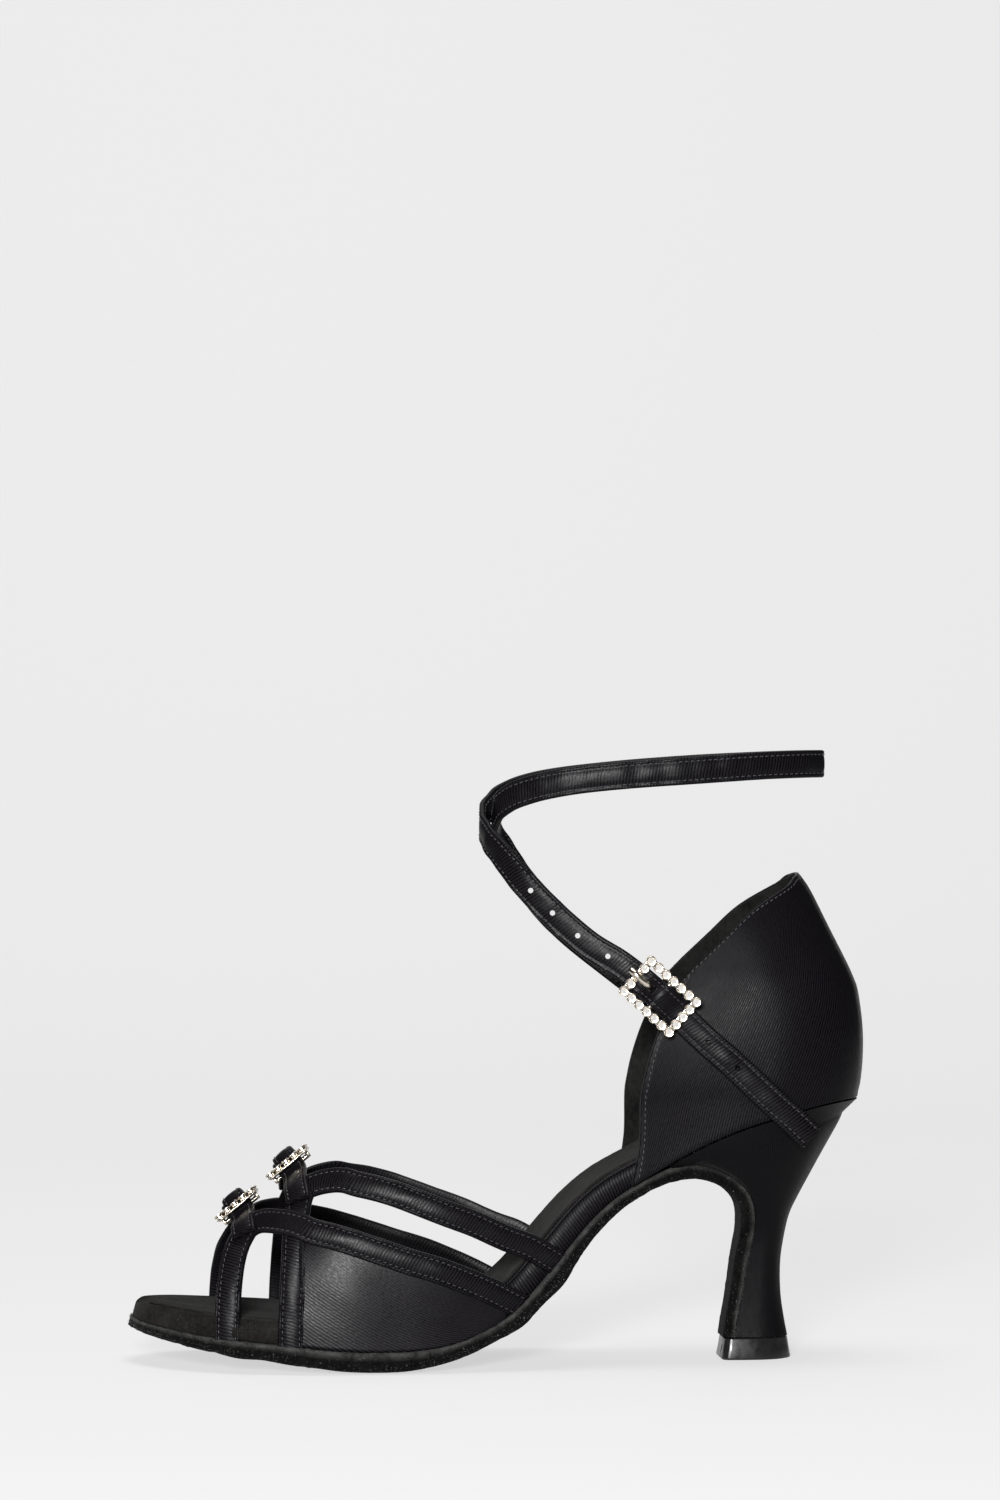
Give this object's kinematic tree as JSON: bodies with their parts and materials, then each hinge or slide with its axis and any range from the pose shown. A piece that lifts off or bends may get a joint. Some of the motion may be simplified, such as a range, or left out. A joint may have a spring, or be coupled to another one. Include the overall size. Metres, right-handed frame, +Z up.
{
  "type": "ballroom dance shoe",
  "caption": "Open-toed left dance sandal with crossed vamp straps, closed heel cup, flared heel and a buckled ankle strap wrapped once round.",
  "frame": {"origin": "centre of the heel tip's bottom face, on the floor", "axes": "+X from toe to heel, +Y to the inner side of the foot, +Z up"},
  "size_m": [0.2132, 0.0774, 0.1766],
  "materials": {
    "satin": "black satin, soft sheen",
    "sole_suede": "napped dark grey suede",
    "sock_suede": "soft black-brown suede",
    "lift_plastic": "glossy black",
    "buckle_metal": "bright champagne metal set with clear stones"
  },
  "bodies": {
    "root": {"outsole": "sole_suede", "insole": "satin", "sock": "sock_suede", "heel": "satin", "top_lift": "lift_plastic", "quarter": "satin", "vamp": "satin", "toe_buckle_front": "buckle_metal", "toe_buckle_rear": "buckle_metal", "ankle_strap": "satin", "ankle_buckle": "buckle_metal", "buckle_prong": "buckle_metal", "buckle_tab": "satin"}
  },
  "joints": []
}
